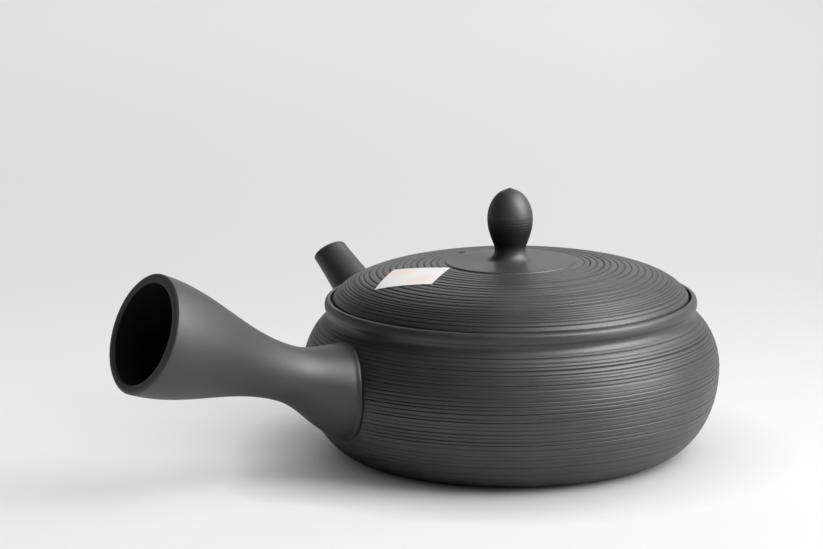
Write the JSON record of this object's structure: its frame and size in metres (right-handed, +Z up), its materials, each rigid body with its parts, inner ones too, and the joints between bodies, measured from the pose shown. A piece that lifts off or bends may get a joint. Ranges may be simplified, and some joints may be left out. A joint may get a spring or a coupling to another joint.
{
  "type": "side-handled teapot",
  "caption": "Flat side-handled clay teapot with combed lines, an inset lift-off lid with a bud knob, a hollow trumpet handle and a short spout with a strainer.",
  "frame": {"origin": "centre of the flat base, on the axis of the body", "axes": "+Z up along the axis of the body, the handle points along -Y, the spout points close to -X"},
  "size_m": [0.1533, 0.1945, 0.0802],
  "materials": {
    "clay": "unglazed charcoal-black clay, satin, with fine combed lines",
    "label_paper": "matt white paper with a pale wash, no print"
  },
  "bodies": {
    "pot": {"body": "clay", "spout": "clay", "strainer": "clay", "handle": "clay"},
    "lid": {"lid": "clay", "knob": "clay", "paper_label": "label_paper"}
  },
  "joints": [
    {"name": "lid_lift", "type": "slide", "parent": "pot", "child": "lid", "axis": [0, 0, 1], "range_m": [0, 0.06]}
  ]
}
